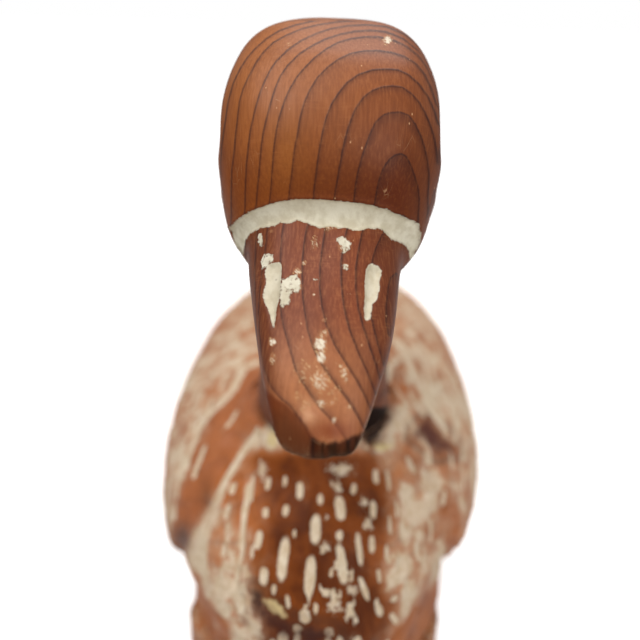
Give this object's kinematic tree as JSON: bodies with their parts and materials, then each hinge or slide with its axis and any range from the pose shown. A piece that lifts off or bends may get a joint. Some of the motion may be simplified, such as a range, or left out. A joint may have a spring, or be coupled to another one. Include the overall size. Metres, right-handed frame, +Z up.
{
  "type": "floating duck decoy",
  "caption": "Hand-carved wooden duck decoy: hollow painted body on a ballasted keel, high head and bill turning on a neck bolt, line ring in front.",
  "frame": {"origin": "centre of the keel's underside, on the ground", "axes": "+Z up, the bill points along -Y, the tail along +Y, +X is the viewer's right when facing the bill"},
  "size_m": [0.1412, 0.3559, 0.2643],
  "materials": {
    "head_wood": "satin lacquered softwood with dark growth rings and worn cream paint",
    "body_wood": "orange-brown wood with distressed cream paint left in the carving",
    "board_wood": "plain oiled board",
    "keel_wood": "worn oiled hardwood",
    "dowel_wood": "plain",
    "eye_glass": "polished",
    "steel": "zinc plated",
    "brass": "aged",
    "lead": "dull cast lead",
    "leather": "waxed",
    "nylon": "plain",
    "bedding": "dull bedding compound"
  },
  "bodies": {
    "hull": {"body_upper": "body_wood", "seam_seal": "bedding", "seam_dowels": "dowel_wood", "body_lower": "board_wood", "body_screws": "brass", "keel": "keel_wood", "keel_screws": "brass", "keel_weight": "lead", "ballast_screws": "brass", "line_tie_eye": "brass", "neck_bushing": "brass", "neck_friction_washer": "leather"},
    "head": {"head_block": "head_wood", "eye_left": "eye_glass", "eye_right": "eye_glass", "neck_hanger_bolt": "steel", "neck_flat_washer": "steel", "neck_spring_washer": "steel", "neck_lock_nut": "steel", "lock_nut_insert": "nylon"},
    "line_ring": {"line_tie_ring": "brass"}
  },
  "joints": [
    {"name": "head_swivel", "type": "hinge", "parent": "hull", "child": "head", "pos_m": [0, -0.098, 0.142], "axis": [0, 0, 1], "continuous": true},
    {"name": "ring_swing", "type": "hinge", "parent": "hull", "child": "line_ring", "pos_m": [0, -0.11, 0.0135], "axis": [1, 0, 0], "range_deg": [-105, 20]}
  ]
}
